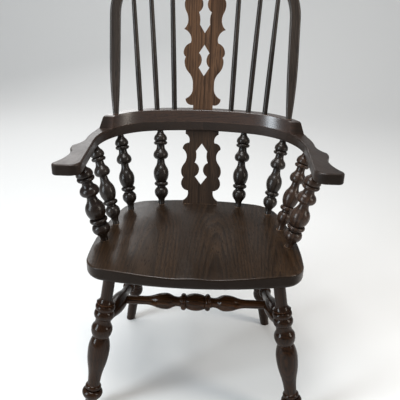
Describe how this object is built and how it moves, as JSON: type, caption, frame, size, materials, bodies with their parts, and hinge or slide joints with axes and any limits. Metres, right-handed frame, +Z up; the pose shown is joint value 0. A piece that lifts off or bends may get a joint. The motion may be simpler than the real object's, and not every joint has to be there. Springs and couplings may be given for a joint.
{
  "type": "captain's chair",
  "caption": "Dark stained oak captain's chair: hooped back with pierced splat and spindles, flat bent arms on turned spindles, dished plank seat, splayed turned legs and stretchers.",
  "frame": {"origin": "on the floor, below the middle of the whole chair's box, in the plane of symmetry", "axes": "+Z up, -Y the way the sitter faces, +X the side that is on the right in the picture"},
  "size_m": [0.687, 0.5582, 1.1635],
  "materials": {
    "oak": "satin",
    "oak_seat": "satin",
    "oak_crest": "satin",
    "oak_splat": "satin",
    "steel": "plain"
  },
  "bodies": {
    "root": {"seat": "oak_seat", "leg_front_left": "oak", "leg_front_right": "oak", "leg_rear_left": "oak", "leg_rear_right": "oak", "side_stretcher_left": "oak", "side_stretcher_right": "oak", "cross_stretcher": "oak", "arm_spindle_left_1": "oak", "arm_spindle_left_2": "oak", "arm_spindle_left_3": "oak", "arm_spindle_left_4": "oak", "arm_spindle_right_1": "oak", "arm_spindle_right_2": "oak", "arm_spindle_right_3": "oak", "arm_spindle_right_4": "oak", "arm_left": "oak", "arm_right": "oak", "arm_crest": "oak_crest", "back_bow": "oak", "back_spindle_left_1": "oak", "back_spindle_left_2": "oak", "back_spindle_left_3": "oak", "back_spindle_right_1": "oak", "back_spindle_right_2": "oak", "back_spindle_right_3": "oak", "upper_splat": "oak_splat", "lower_splat": "oak_splat", "crest_screws": "steel"}
  },
  "joints": []
}
